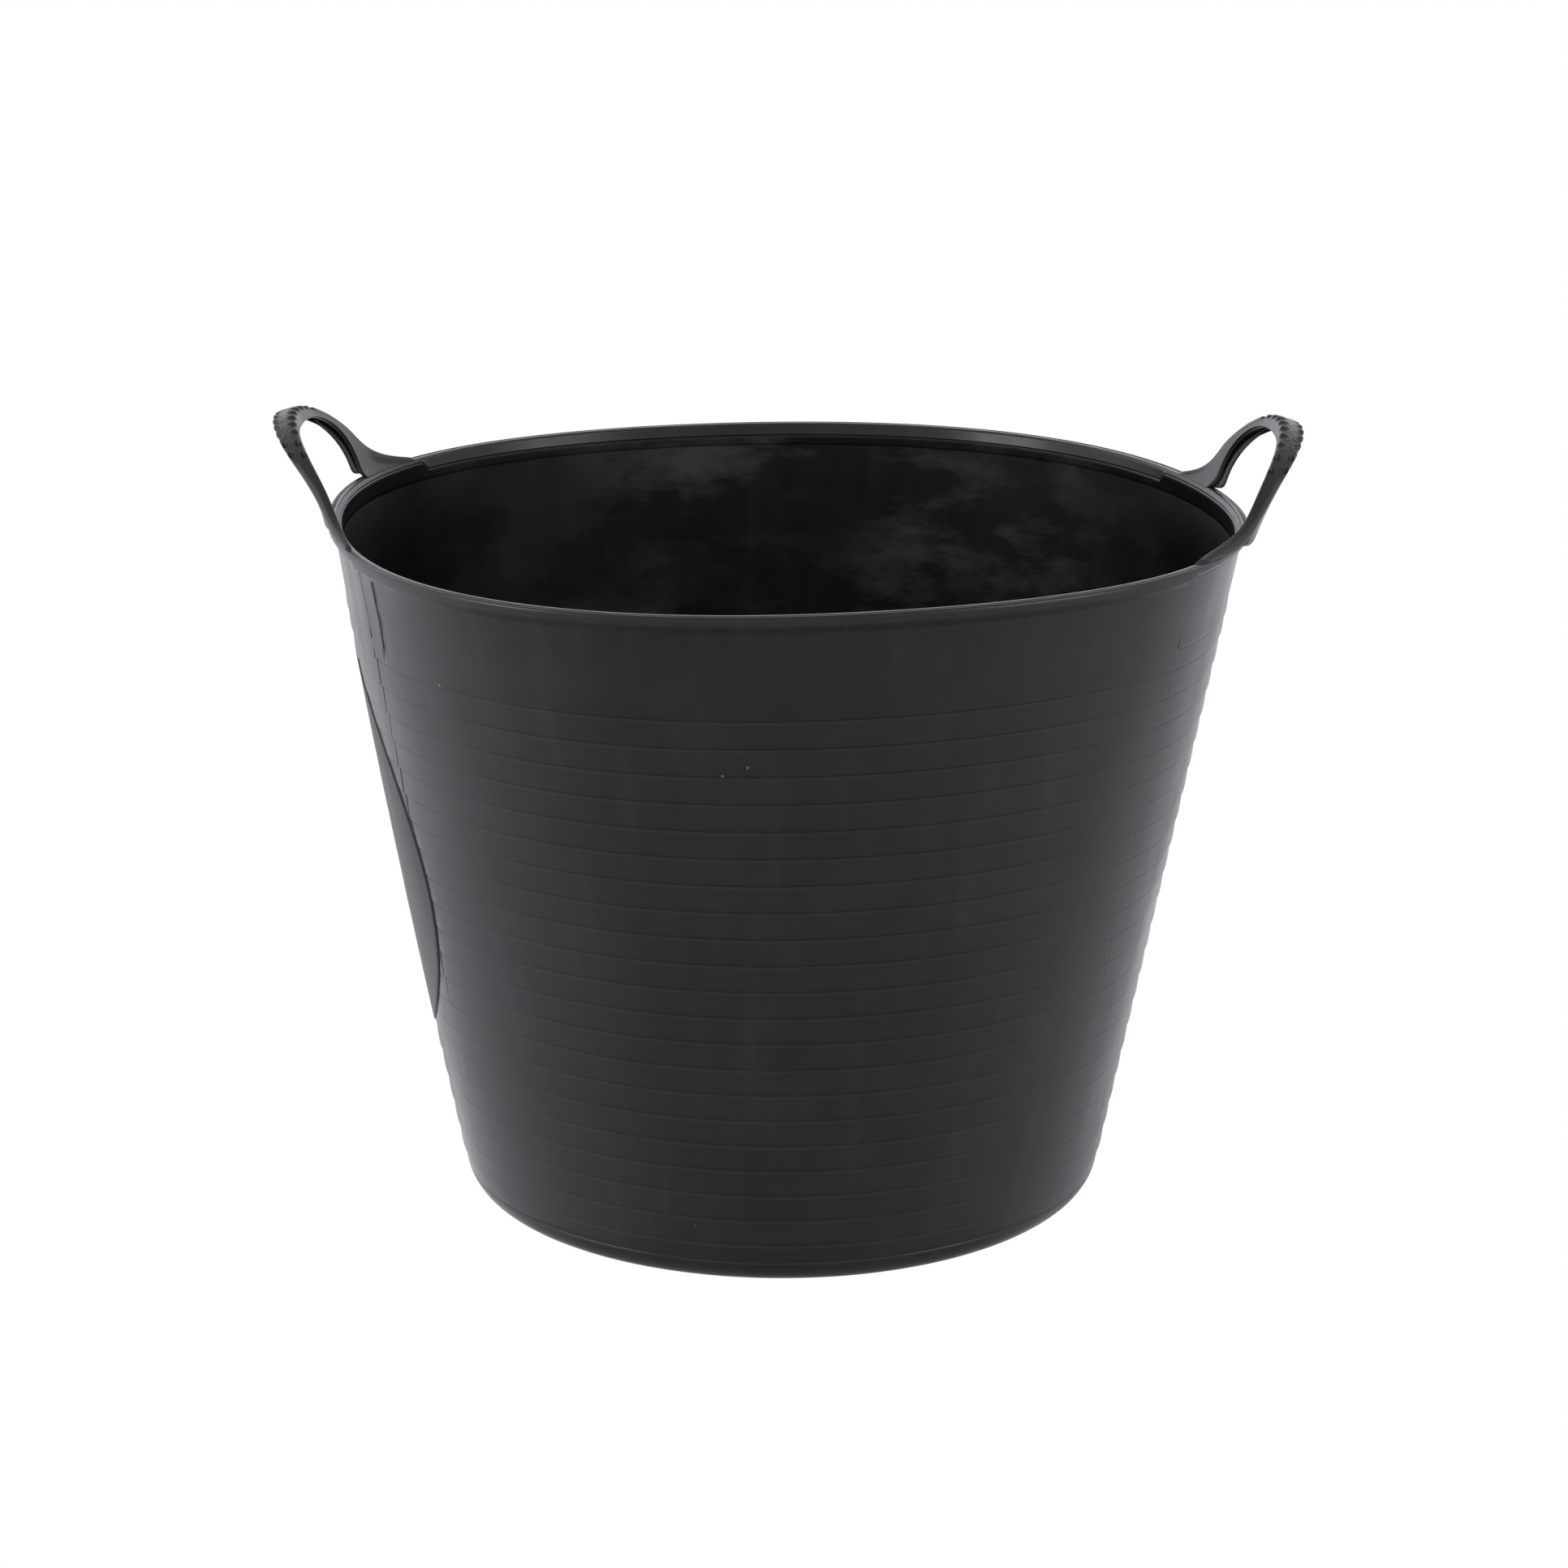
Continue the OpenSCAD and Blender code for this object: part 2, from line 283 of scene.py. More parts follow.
# --------------------------------------------------------------------- the base
def build_base():
    """Base with its rounded corner and standing ring, closed in to the middle."""
    steps = 14
    middle = 0.02
    turn = math.radians(90) - math.atan(SLOPE)
    a = -math.pi / 2 + turn * np.arange(steps + 1) / steps
    arc = np.stack([CORNER_X + CORNER_R * np.cos(a), CORNER_R + CORNER_R * np.sin(a)], 1)
    in_r = CORNER_R - WALL_T
    start = math.acos((CORNER_R - BASE_T) / in_r) - math.pi / 2
    b = start + (-math.atan(SLOPE) - start) * np.arange(steps, -1, -1) / steps
    fillet = np.stack([CORNER_X + in_r * np.cos(b), CORNER_R + in_r * np.sin(b)], 1)
    foot = CORNER_X - FOOT_W
    under = [
        (middle, BASE_RECESS - 0.9),
        (2.6, BASE_RECESS - 0.8),
        (3.4, BASE_RECESS),
        (30, BASE_RECESS),
        (60, BASE_RECESS),
        (90, BASE_RECESS),
        (foot - 1.4, BASE_RECESS),
        (foot - 0.5, BASE_RECESS - 0.15),
        (foot + 0.1, 0.25),
        (foot + 0.7, 0.0),
        (CORNER_X - 6, 0.0),
    ]
    floor_top = [(r, BASE_T) for r in (125, 100, 70, 40, 15, middle)]
    profile = np.vstack([under, arc, fillet, floor_top])
    return revolve("tub_base", lambda phi: profile, angle_columns(288, []))


# --------------------------------------------------------------------- rim band
def in_handle_rim(phi):
    """1 where the rim is the narrow kind between a handle's feet, 0 elsewhere."""
    off = abs(off_axis(phi))
    end = 30.6 if math.cos(phi) > 0 and math.sin(phi) > 0 else 32.1
    return float(smooth((math.radians(end) - off) / math.radians(1.3)))


def rim_ledge(phi):
    """Height of the small ledge inside the rim; higher between a handle's feet."""
    return LEDGE_Z + LEDGE_UP * in_handle_rim(phi)


def rim_profile(phi):
    """Cross-section of the rim, from the wall outside over the top to the ledge."""
    off = abs(off_axis(phi))
    handle = in_handle_rim(phi)
    deep = float(smooth((math.radians(17.0) - off) / math.radians(1.5)))
    bead = BEAD_H - 2.6 * handle
    ledge = rim_ledge(phi)
    step = 1 - 0.6 * handle
    top = RIM_H
    groove = 0.75 + 0.45 * deep
    lump = 0.10 * float(noise1(phi, 21, 5))
    z0 = top - bead
    e = RIM_R + lump * 0.6
    pts = [
        (wall_r(z0 - 3.4) + 0.02, z0 - 3.4),
        (wall_r(z0 - 2.6) + 0.12, z0 - 2.6),
        (wall_r(z0 - 1.9) + 0.60, z0 - 1.9),
        (wall_r(z0 - 1.3) + 1.30, z0 - 1.3),
        (wall_r(z0 - 0.8) + 1.62, z0 - 0.8),
        (wall_r(z0 - 0.5) + 1.25, z0 - 0.42),
        (wall_r(z0 - 0.2) + 1.35, z0 - 0.2),
        (e - 0.5, z0 - 0.1),
        (e - 0.1, z0 + 0.2),
        (e, z0 + 0.7),
        (e + 0.02, top - 2.2),
        (e, top - 1.35),
        (e - 0.22, top - 0.62),
        (e - 0.75, top - 0.12),
        (e - 1.2, top - 0.02),
        (e - 1.55, top - 0.1 - groove * 0.3),
        (e - 1.85, top - groove * 0.95),
        (e - 2.1, top - groove),
        (e - 2.45, top - groove * 0.5),
        (e - 3.2, top + 0.1 * deep),
        (e - 4.7, top - 0.05),
        (e - 5.5, top - 0.35),
        (RIM_IN_R + 0.02, top - 0.9),
        (RIM_IN_R - 0.12, top - 1.6),
        (RIM_IN_R - 0.35 - 0.4 * step, ledge + 1.0),
        (RIM_IN_R - 0.4 - 0.45 * step, ledge + 0.55),
        (RIM_IN_R - 0.35, ledge + 0.15),
        (RIM_IN_R - 0.45, ledge - 0.25),
        (RIM_IN_R - 0.55 - 0.8 * step, ledge - 0.5),
        (RIM_IN_R - 0.75 - 1.0 * step, ledge - 0.95),
        (RIM_IN_R - 1.0 - 0.7 * step, ledge - 1.8),
        (wall_r(328.5) - WALL_LEVEL_T - 0.12, 328.5),
        (wall_r(326.0) - WALL_LEVEL_T + 0.05, 326.0),
        (wall_r(327.0) - 1.0, 327.5),
    ]
    return np.array(pts)


def build_rim():
    """The rim, with closer columns at the seams and where its groove deepens."""
    deepens = 0.28  # angle from a handle's middle
    extra = [(s, 0.05, 31) for s in SEAMS]
    extra += [(mid + off, 0.04, 15) for mid in (0, math.pi) for off in (deepens, -deepens)]
    return revolve("tub_rim", rim_profile, angle_columns(480, extra))


# ------------------------------------------------------------ blank round panel
def panel_disc(radii, proud, start, flip):
    """Rings of points on the wall round the panel's middle, joined into one sheet."""
    verts, faces = [], []
    for r, out in zip(radii, proud):
        for k in range(1 if r == 0 else PANEL_TURNS):
            a = 2 * math.pi * k / PANEL_TURNS
            y, z = r * math.cos(a), PANEL_Z + r * math.sin(a)
            rr = wall_r(z) + out
            verts.append((-math.sqrt(rr * rr - y * y), y, z))
    first = [start + 1 + j * PANEL_TURNS for j in range(len(radii) - 1)]
    for k in range(PANEL_TURNS):
        k2 = (k + 1) % PANEL_TURNS
        faces.append((start, first[0] + k2, first[0] + k))
        for base, nxt in zip(first, first[1:]):
            faces.append((base + k, base + k2, nxt + k2, nxt + k))
    if flip:
        faces = [f[::-1] for f in faces]
    return verts, faces, first[-1]


def build_panel():
    """Plain round panel that follows the wall, with a soft edge."""
    radii = [0, 8, 20, 35, 50, 65, 78, 88, 94, 98, 99.8, 100.6, 101.0, 101.3, PANEL_R]
    height = [PANEL_OUT] * 11 + [0.74, 0.58, 0.3, -0.2]
    front, faces, rim = panel_disc(radii, height, 0, False)
    inside = [0, 20, 40, 60, 78, 92, 101.3]
    back, more, back_rim = panel_disc(inside, [-0.6] * len(inside), len(front), True)
    faces += more
    for k in range(PANEL_TURNS):
        k2 = (k + 1) % PANEL_TURNS
        faces.append((rim + k, rim + k2, back_rim + k2, back_rim + k))
    return mesh_object("tub_panel", bend_out_of_round(np.array(front + back)), faces)


# ---------------------------------------------------------------------- handles
# Shapes are laid out flat as (s, h): s across from the loop's middle, h up from the rim.
FOOT_R = 221.5
CROWN_HALF_S, CROWN_SOFT = 64, 9  # the crown's section changes to the legs' over this
ARCH = [(0, 48.2), (25.6, 48.2), (54.4, 39.0), (68.9, 22.4)]
FLARE = [(68.9, 22.4), (79.6, 10.6), (91.5, 4.9), (111.7, 0.9)]
GAP_HALF_W, GAP_POWER = 63.0, 2.74
GAP_H_IN, GAP_H_OUT = 40.2, 43.2


class Side:
    """One handle: its lean, its two faces' radii over the height, and its skew."""

    def __init__(self, name, sign, tilt, **rest):
        self.name, self.sign, self.tilt = name, sign, math.radians(tilt)
        self.__dict__.update(rest)


# inner, outer: radius of each face at the rim, then its slope and curve over the height.
# shear, twist: how far the crown has moved to the back, and turned, in mm.
# reach: where the front and back feet end. rows: first dimple and pitch of each row.
# tongue: height of the tongue's tip. tuck: how far the tip turns in under the rim's edge.
# thin: how much narrower the inner flange is on the front leg. foot: how far each
# foot is drawn in to the rim's inner edge, 1 being all the way.
LEFT = Side(
    "left",
    -1,
    14.6,
    inner=(222.2, 0.1188, 0.00282),
    outer=(227.35, 0.1297, 0.00653),
    shear=-2.1,
    twist=4.5,
    reach=(105.0, 109.0),
    rows=((-53.7, 9.6), (-51.6, 8.8)),
    tongue=2.2,
    tuck=4.2,
    thin=0.5,
    foot=(0.35, 1.0),
)
RIGHT = Side(
    "right",
    1,
    17.2,
    inner=(224.0, 0.270, 0.00041),
    outer=(229.5, 0.2794, 0.00444),
    shear=6.8,
    twist=-3.8,
    reach=(110.0, 97.5),
    rows=((-58.0, 10.0), (-54.6, 9.8)),
    tongue=0.6,
    tuck=5.4,
    thin=0.3,
    foot=(1.0, 1.0),
)


def cubic(p, t):
    """Points of a Bezier curve."""
    p, t = np.array(p, float), np.asarray(t, float)[:, None]
    return (
        (1 - t) ** 3 * p[0]
        + 3 * t * (1 - t) ** 2 * p[1]
        + 3 * t**2 * (1 - t) * p[2]
        + t**3 * p[3]
    )


def on_line(u, along, points):
    """Points of a polyline at the distances u, where along holds its own distances."""
    return np.stack([np.interp(u, along, points[:, i]) for i in (0, 1)], 1)


def on_crown(u):
    """1 along the crown, 0 along the legs."""
    return smooth((CROWN_HALF_S - np.abs(u)) / CROWN_SOFT)


def by_length(points, n):
    """n points at even spacing along a polyline, and their distance along it."""
    seg = np.hypot(*np.diff(points, axis=0).T)
    along = np.r_[0, np.cumsum(seg)]
    u = np.linspace(0, along[-1], n)
    return on_line(u, along, points), u


def back_edge(side, n):
    """The whole back edge of the loop as (s, h), evenly spaced, with its normal."""
    arch = cubic(ARCH, np.linspace(0, 1, 80, endpoint=False))
    ends = []
    for reach in side.reach:
        flare = cubic(FLARE, np.linspace(0, 1, 80))
        start, end = FLARE[0][0], FLARE[-1][0]
        flare[:, 0] = start + (flare[:, 0] - start) * (reach - start) / (end - start)
        ends.append(np.vstack([arch, flare]))
    full = np.vstack([ends[0][:0:-1] * [-1, 1], ends[1]])
    p, u = by_length(full, n)
    d = np.gradient(p, axis=0)
    d /= np.hypot(d[:, 0], d[:, 1])[:, None]
    inward = np.stack([d[:, 1], -d[:, 0]], 1)
    return p, inward, u - np.interp(0.0, p[:, 0], u)


def gap_edge(height, n):
    """The finger gap's edge from the front leg's foot over the top to the back one's."""
    a = np.pi * (1 - np.arange(n) / (n - 1))
    c, s = np.cos(a), np.abs(np.sin(a))
    e = 2 / GAP_POWER
    p = np.stack([np.sign(c) * GAP_HALF_W * np.abs(c) ** e, height * s**e], 1)
    return by_length(p, n)[0]


def place(side, s, h, depth, inset=0.0):
    """Points of a handle: s across, h up, depth 0 at the inner face to 1 at the outer.

    inset moves a point outwards by that many mm along the same line. Each face's
    place along the line is solved for, because its radius depends on the height."""
    s, h = np.asarray(s, float), np.asarray(h, float)
    depth = np.broadcast_to(depth, s.shape).astype(float)
    inset = np.broadcast_to(inset, s.shape).astype(float)
    drop = (FOOT_R - np.sqrt(np.maximum(FOOT_R**2 - s**2, 1))) * math.sin(side.tilt)
    h = h - drop
    n = np.array([math.cos(side.tilt), 0, -math.sin(side.tilt)])
    up = np.array([math.sin(side.tilt), 0, math.cos(side.tilt)])
    p = np.array([FOOT_R, 0, RIM_H]) + s[..., None] * [0, 1.0, 0] + h[..., None] * up
    tail = smooth((np.abs(s) - 74) / 30)
    ks = []
    for face, is_outer in ((side.inner, False), (side.outer, True)):
        k = np.zeros(s.shape)
        for _ in range(14):
            q = p + k[..., None] * n
            r = np.hypot(q[..., 0], q[..., 1])
            z = q[..., 2] - RIM_H
            want = face[0] + face[1] * z + face[2] * z * np.maximum(z, 0)
            if is_outer:
                want = want + (RIM_R - 0.9 - face[0]) * tail
            else:
                pull = np.maximum(tail, 0.9 * np.exp(-np.maximum(z, 0) / 2.2))
                pull = pull * np.where(s < 0, side.foot[0], side.foot[1])
                want = want + (RIM_IN_R + 0.5 - face[0]) * pull
            slope = face[1] + 2 * face[2] * np.maximum(z, 0)
            k = k - (r - want) / (q[..., 0] / r * n[0] - n[2] * slope)
        ks.append(k)
    k = ks[0] + depth * (ks[1] - ks[0]) + inset
    q = p + k[..., None] * n
    lift = np.clip(q[..., 2] - RIM_H, 0, None) / 50
    q[..., 1] = q[..., 1] + side.shear * lift
    q[..., 0] = q[..., 0] + side.twist * s / 60 * lift
    q[..., 0] *= side.sign
    return bend_out_of_round(q)


def dimples(side, u, v):
    """Depth of the two rows of scoops in the grip: open at the strap's edges over the
    crown, closed and round at the last two of each end, each with a faint raised lip."""
    depth = np.zeros_like(u * v)
    lip = np.zeros_like(depth)
    for (start, pitch), from_edge in zip(side.rows, (v, 1 - v)):
        for i in range(12):
            along = u - (start + i * pitch)
            if 2 <= i < 10:
                r = np.sqrt((along / (0.4 * pitch)) ** 2 + (from_edge / 0.37) ** 2)
                deep = 1.0 - 0.35 * from_edge / 0.37
            else:
                r = np.sqrt((along / 2.9) ** 2 + ((from_edge - 0.2) / 0.165) ** 2)
                deep = 0.95
            depth = np.maximum(depth, deep * smooth((1.0 - r) / 0.42))
            lip = np.maximum(lip, bump_at(r - 1.1, 0.11))
    return depth - 0.13 * lip


def strap_sections(side):
    """The grip's skin: convex across, rounded at both corners, dimpled on the crown."""
    n, rows = 430, 30  # points along the strap and across it
    p, inward, u = back_edge(side, n)
    v = np.linspace(0, 1, rows)
    vv, uu = np.meshgrid(v, u)
    crown = 0.9 * (2 * vv - 1) ** 2 + 1.5 * np.clip(1 - vv / 0.09, 0, 1) ** 2
    crown += 1.5 * np.clip((vv - 0.91) / 0.09, 0, 1) ** 2
    calm = on_crown(uu)
    to_end = np.minimum(uu - u[0], u[-1] - uu)
    fade = smooth((to_end - 4) / 22)
    bevel = 1.7 * np.clip((vv - 0.70) / 0.30, 0, 1) ** 1.15 * (1 - calm) * fade
    off = crown * 0.62 + bevel + 1.5 * dimples(side, uu, vv)
    tail_end = smooth((3.5 - to_end) / 3.0)
    off = off + 0.8 * tail_end
    s = p[:, 0:1] + inward[:, 0:1] * off
    h = p[:, 1:2] + inward[:, 1:2] * off
    top = place(side, s, h, vv)
    under = []
    cut = (1.9 * (1 - calm) * fade)[:, :1]
    lip = 2.2 + 1.2 * calm[:, :1]
    drops = (lip, lip + 0.1, 2.1, 2.3, 2.1, lip + 0.1, lip)
    for depth, drop in zip((1.0, 0.93, 0.88, 0.5, 0.12, 0.07, 0.0), drops):
        q = p + inward * (drop + 0.25 + cut * depth)
        under.append(place(side, q[:, 0], q[:, 1], depth))
    return np.concatenate([top, np.stack(under, 1)], 1)


def sheet_between(side, name, upper, lower, depth_at, face, back, flip=False):
    """A thin plate between two edges of equal point count, on one face of the handle.

    face and back are how far its two sides stand from that face, for each row across."""
    rows = face.shape[1]
    t = np.linspace(0, 1, rows)[None, :]
    s = upper[:, 0:1] * (1 - t) + lower[:, 0:1] * t
    h = upper[:, 1:2] * (1 - t) + lower[:, 1:2] * t
    face, back = np.broadcast_to(face, s.shape), np.broadcast_to(back, s.shape)
    a, b = place(side, s, h, depth_at, face), place(side, s, h, depth_at, back)
    run = lower - upper
    tip = lower + run / np.maximum(np.hypot(*run.T)[:, None], 0.01) * 0.45
    middle = (face + back)[:, -1:] / 2
    edge = place(side, tip[:, 0:1], tip[:, 1:2], depth_at, middle)
    return tube_strip(name, np.concatenate([a, edge, b[:, ::-1]], 1), flip)


def inner_sheet(side):
    """Inner flange and the two webs that carry it down on to the rim: one plate."""
    split, split_s = 0.56, 71.0  # share of the points that are on the loop, and its end
    p, inward, u = back_edge(side, 4001)
    gap = gap_edge(GAP_H_IN, 1001)
    t = np.linspace(-1, 1, 181)
    a = np.abs(t)
    past = (a - split) / (1 - split)
    u_split = u[np.argmin(np.abs(p[:, 0] - split_s))]
    u_end = np.where(t < 0, -u[0], u[-1]) - 0.6
    uu = np.where(a < split, a / split * u_split, u_split + past * (u_end - u_split))
    uu = uu * np.sign(t)
    upper = on_line(uu, u, p + inward * (1.6 + 1.1 * on_crown(u))[:, None])
    lower = on_line(np.clip(t / split, -1, 1), np.linspace(-1, 1, len(gap)), gap)
    out = np.clip(past, 0, 1)
    ends = np.where(t < 0, side.reach[0], side.reach[1]) - 0.5
    foot_s = GAP_HALF_W + out * (ends - GAP_HALF_W)
    lower[:, 0] = np.where(a > split, np.sign(t) * foot_s, lower[:, 0])
    lower[:, 1] = np.where(a > split, -0.6, lower[:, 1] - 0.6 * smooth((a - 0.4) / 0.16))
    near = bump_at(t + 0.27, 0.16)[:, None] * side.thin
    lower = lower + (upper - lower) * near
    face, back = np.full((1, 22), -0.06), np.full((1, 22), 1.9)
    face[0, :2] = 0.4, 0.0
    return sheet_between(side, side.name + "_web_sheet", upper, lower, 0.0, face, back)


def outer_plate(side):
    """Outer flange, with the rounded tongue below each leg outside the rim."""
    loop_n, tongue_n, plate_t, tip_t = 121, 16, 2.2, 6.0
    p, inward, u = back_edge(side, 4001)
    gap = gap_edge(GAP_H_OUT, 1001)
    u_leg = u[np.argmin(np.abs(p[:, 0] - 70.5))]
    edge = p + inward * (3.5 - 0.8 * on_crown(u)[:, None])
    upper = on_line(np.linspace(-u_leg, u_leg, loop_n), u, edge)
    lower = on_line(np.linspace(-0.93, 0.93, loop_n), np.linspace(-1, 1, len(gap)), gap)
    t = np.linspace(0, 1, tongue_n + 1)[1:]
    low = side.tongue
    tongue_u = cubic([upper[-1], (72.6, 13.0), (74.0, low + 3.0), (68.3, low)], t)
    tongue_l = cubic([lower[-1], (63.2, low + 1.4), (64.6, low), (67.9, low - 0.1)], t)
    mirror = np.array([-1.0, 1.0])
    upper = np.vstack([tongue_u[::-1] * mirror, upper, tongue_u])
    lower = np.vstack([tongue_l[::-1] * mirror, lower, tongue_l])
    turn_in = side.tuck * (1 - np.sqrt(1 - np.linspace(0, 0.985, tongue_n + 1)[1:] ** 2))
    face = -np.r_[turn_in[::-1], np.zeros(loop_n), turn_in][:, None] * np.ones((1, 14))
    thicker = np.linspace(-plate_t, -tip_t, tongue_n)
    back = np.r_[thicker[::-1], np.full(loop_n, -plate_t), thicker][:, None]
    back = back * np.ones((1, 14))
    name = side.name + "_outer_plate"
    return sheet_between(side, name, upper, lower, 1.0, face, back, True)


def leg_rib(side, leg):
    """Thin rib inside one leg's channel; leg is -1 for the front and 1 for the back."""
    h = np.linspace(1.5, 24, 12)
    back, _, _ = back_edge(side, 1201)
    keep = back[:, 0] > 0
    s_back = np.interp(h, back[keep][::-1, 1], back[keep][::-1, 0]) - 2.2
    s_gap = GAP_HALF_W * (1 - (h / 43) ** GAP_POWER) ** (1 / GAP_POWER) + 3.2
    depth = np.array([0.43, 0.43, 0.5, 0.57, 0.57])
    rows = []
    for height, a, b in zip(h, np.maximum(s_back, s_gap + 1), s_gap):
        s = np.array([a, b, b - 0.3, b, a]) * leg
        rows.append(place(side, s, np.full(5, height), depth))
    word = "front" if leg < 0 else "back"
    return tube_strip(f"{side.name}_{word}_rib", np.array(rows))


def build_handle(side):
    """The four kinds of piece of one handle, each bending from the rim to the crown."""
    n = side.name
    strap = tube_strip(n + "_grip", strap_sections(side), side.sign < 0)
    inner = inner_sheet(side)
    outer = outer_plate(side)
    ribs = [leg_rib(side, -1), leg_rib(side, 1)]
    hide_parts(n + "_grip_skin")
    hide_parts(n + "_inner_flange", n + "_front_web", n + "_back_web")
    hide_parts(n + "_outer_flange", n + "_front_lug", n + "_back_lug")
    for rib in ribs:
        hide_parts(n + "_leg_ribs")
    for ob in (strap, inner, outer, *ribs):
        fix_normals(ob)
        ob.data.materials.append(handle_mat)
        # The outer plate's inward faces take the light channel plastic: painted light on
        # the inside of each handle's channel.
        if ob is outer:
            ob.data.materials.append(painted_light_channel_mat)
            for face in ob.data.polygons:
                if outwardness(face) < -0.3:
                    face.material_index = 1
        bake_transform(ob)


def outwardness(face):
    """How far a face looks away from the tub's axis: 1 straight out, -1 straight in."""
    c, n = face.center, face.normal
    return (c.x * n.x + c.y * n.y) / math.hypot(c.x, c.y)


def fix_normals(ob):
    """Turns every face of a closed mesh outward."""
    bm = bmesh.new()
    bm.from_mesh(ob.data)
    bmesh.ops.recalc_face_normals(bm, faces=bm.faces)
    bm.to_mesh(ob.data)
    bm.free()
    ob.data.update()


def mark_inside(ob):
    """Gives the faces that look into the tub the second material: duller, and darker in
    colour as painted shade inside the tub.
    """
    for face in ob.data.polygons:
        c = face.center
        toward_axis = outwardness(face) < -0.2
        if ob.name == "tub_rim":
            ledge = rim_ledge(math.atan2(c.y, c.x))
            inside = toward_axis and c.z * 1000 < ledge - 0.6
        else:
            inside = c.z > 0.003 and (toward_axis or face.normal.z > 0.6)
        if inside:
            face.material_index = 1


